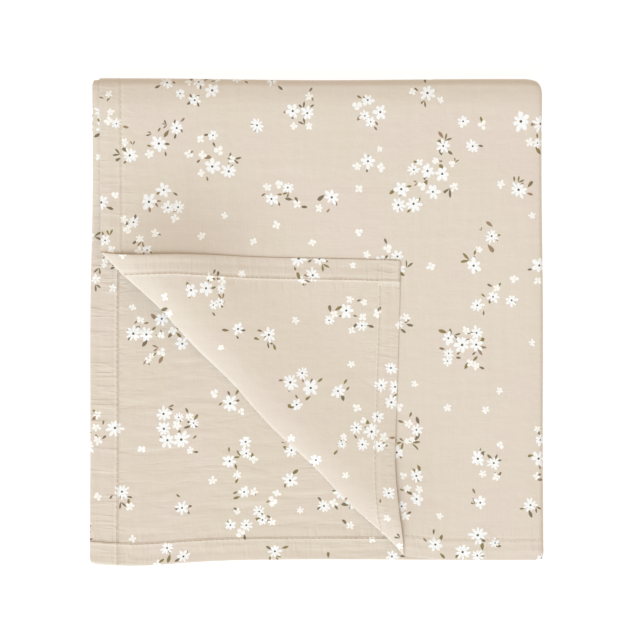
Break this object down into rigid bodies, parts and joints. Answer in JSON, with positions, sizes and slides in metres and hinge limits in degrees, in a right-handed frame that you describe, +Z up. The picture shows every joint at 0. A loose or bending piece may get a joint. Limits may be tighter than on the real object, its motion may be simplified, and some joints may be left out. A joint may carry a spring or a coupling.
{
  "type": "swaddle blanket",
  "caption": "Cotton muslin swaddle blanket, folded in four each way and laid flat, with the corner of its top layer turned back.",
  "frame": {"origin": "middle of the folded blanket's footprint, on the surface that it rests on", "axes": "+Z up out of the stack, +Y from the side where the hems lie towards the long folded side, +X from the hemmed side to the folded side"},
  "size_m": [0.2807, 0.3011, 0.0289],
  "materials": {
    "muslin": "matt crinkled double-gauze cotton"
  },
  "bodies": {
    "root": {"muslin_cloth": "muslin"}
  },
  "joints": []
}
